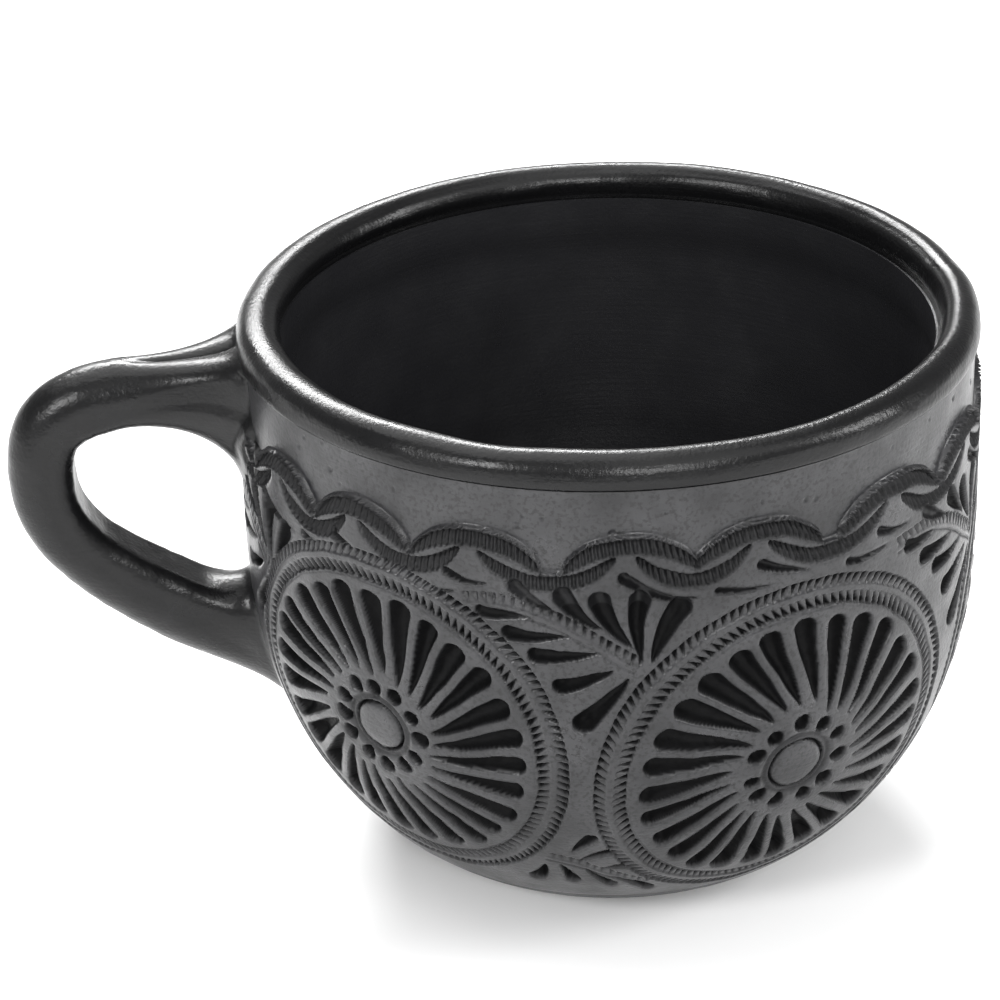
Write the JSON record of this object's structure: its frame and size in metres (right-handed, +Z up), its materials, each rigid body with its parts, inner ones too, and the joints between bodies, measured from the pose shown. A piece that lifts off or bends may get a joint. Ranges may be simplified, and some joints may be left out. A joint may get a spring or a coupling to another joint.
{
  "type": "black clay mug",
  "caption": "Wide black clay mug with a rounded rim, a looped handle and a carved belly, standing on a small flat base.",
  "frame": {"origin": "centre of the flat underside of the base, on the cup's axis", "axes": "+Z up along the cup's axis, the handle lies towards -X, +Y is to the left of someone looking along +X"},
  "size_m": [0.1322, 0.1006, 0.0796],
  "materials": {
    "carved_clay": "satin",
    "burnished_clay": "gloss",
    "smoked_clay": "matte"
  },
  "bodies": {
    "root": {"base_pad": "smoked_clay", "cup_wall": "carved_clay", "rim_coil": "burnished_clay", "handle": "burnished_clay", "upper_join_clay": "burnished_clay", "lower_join_clay": "burnished_clay"}
  },
  "joints": []
}
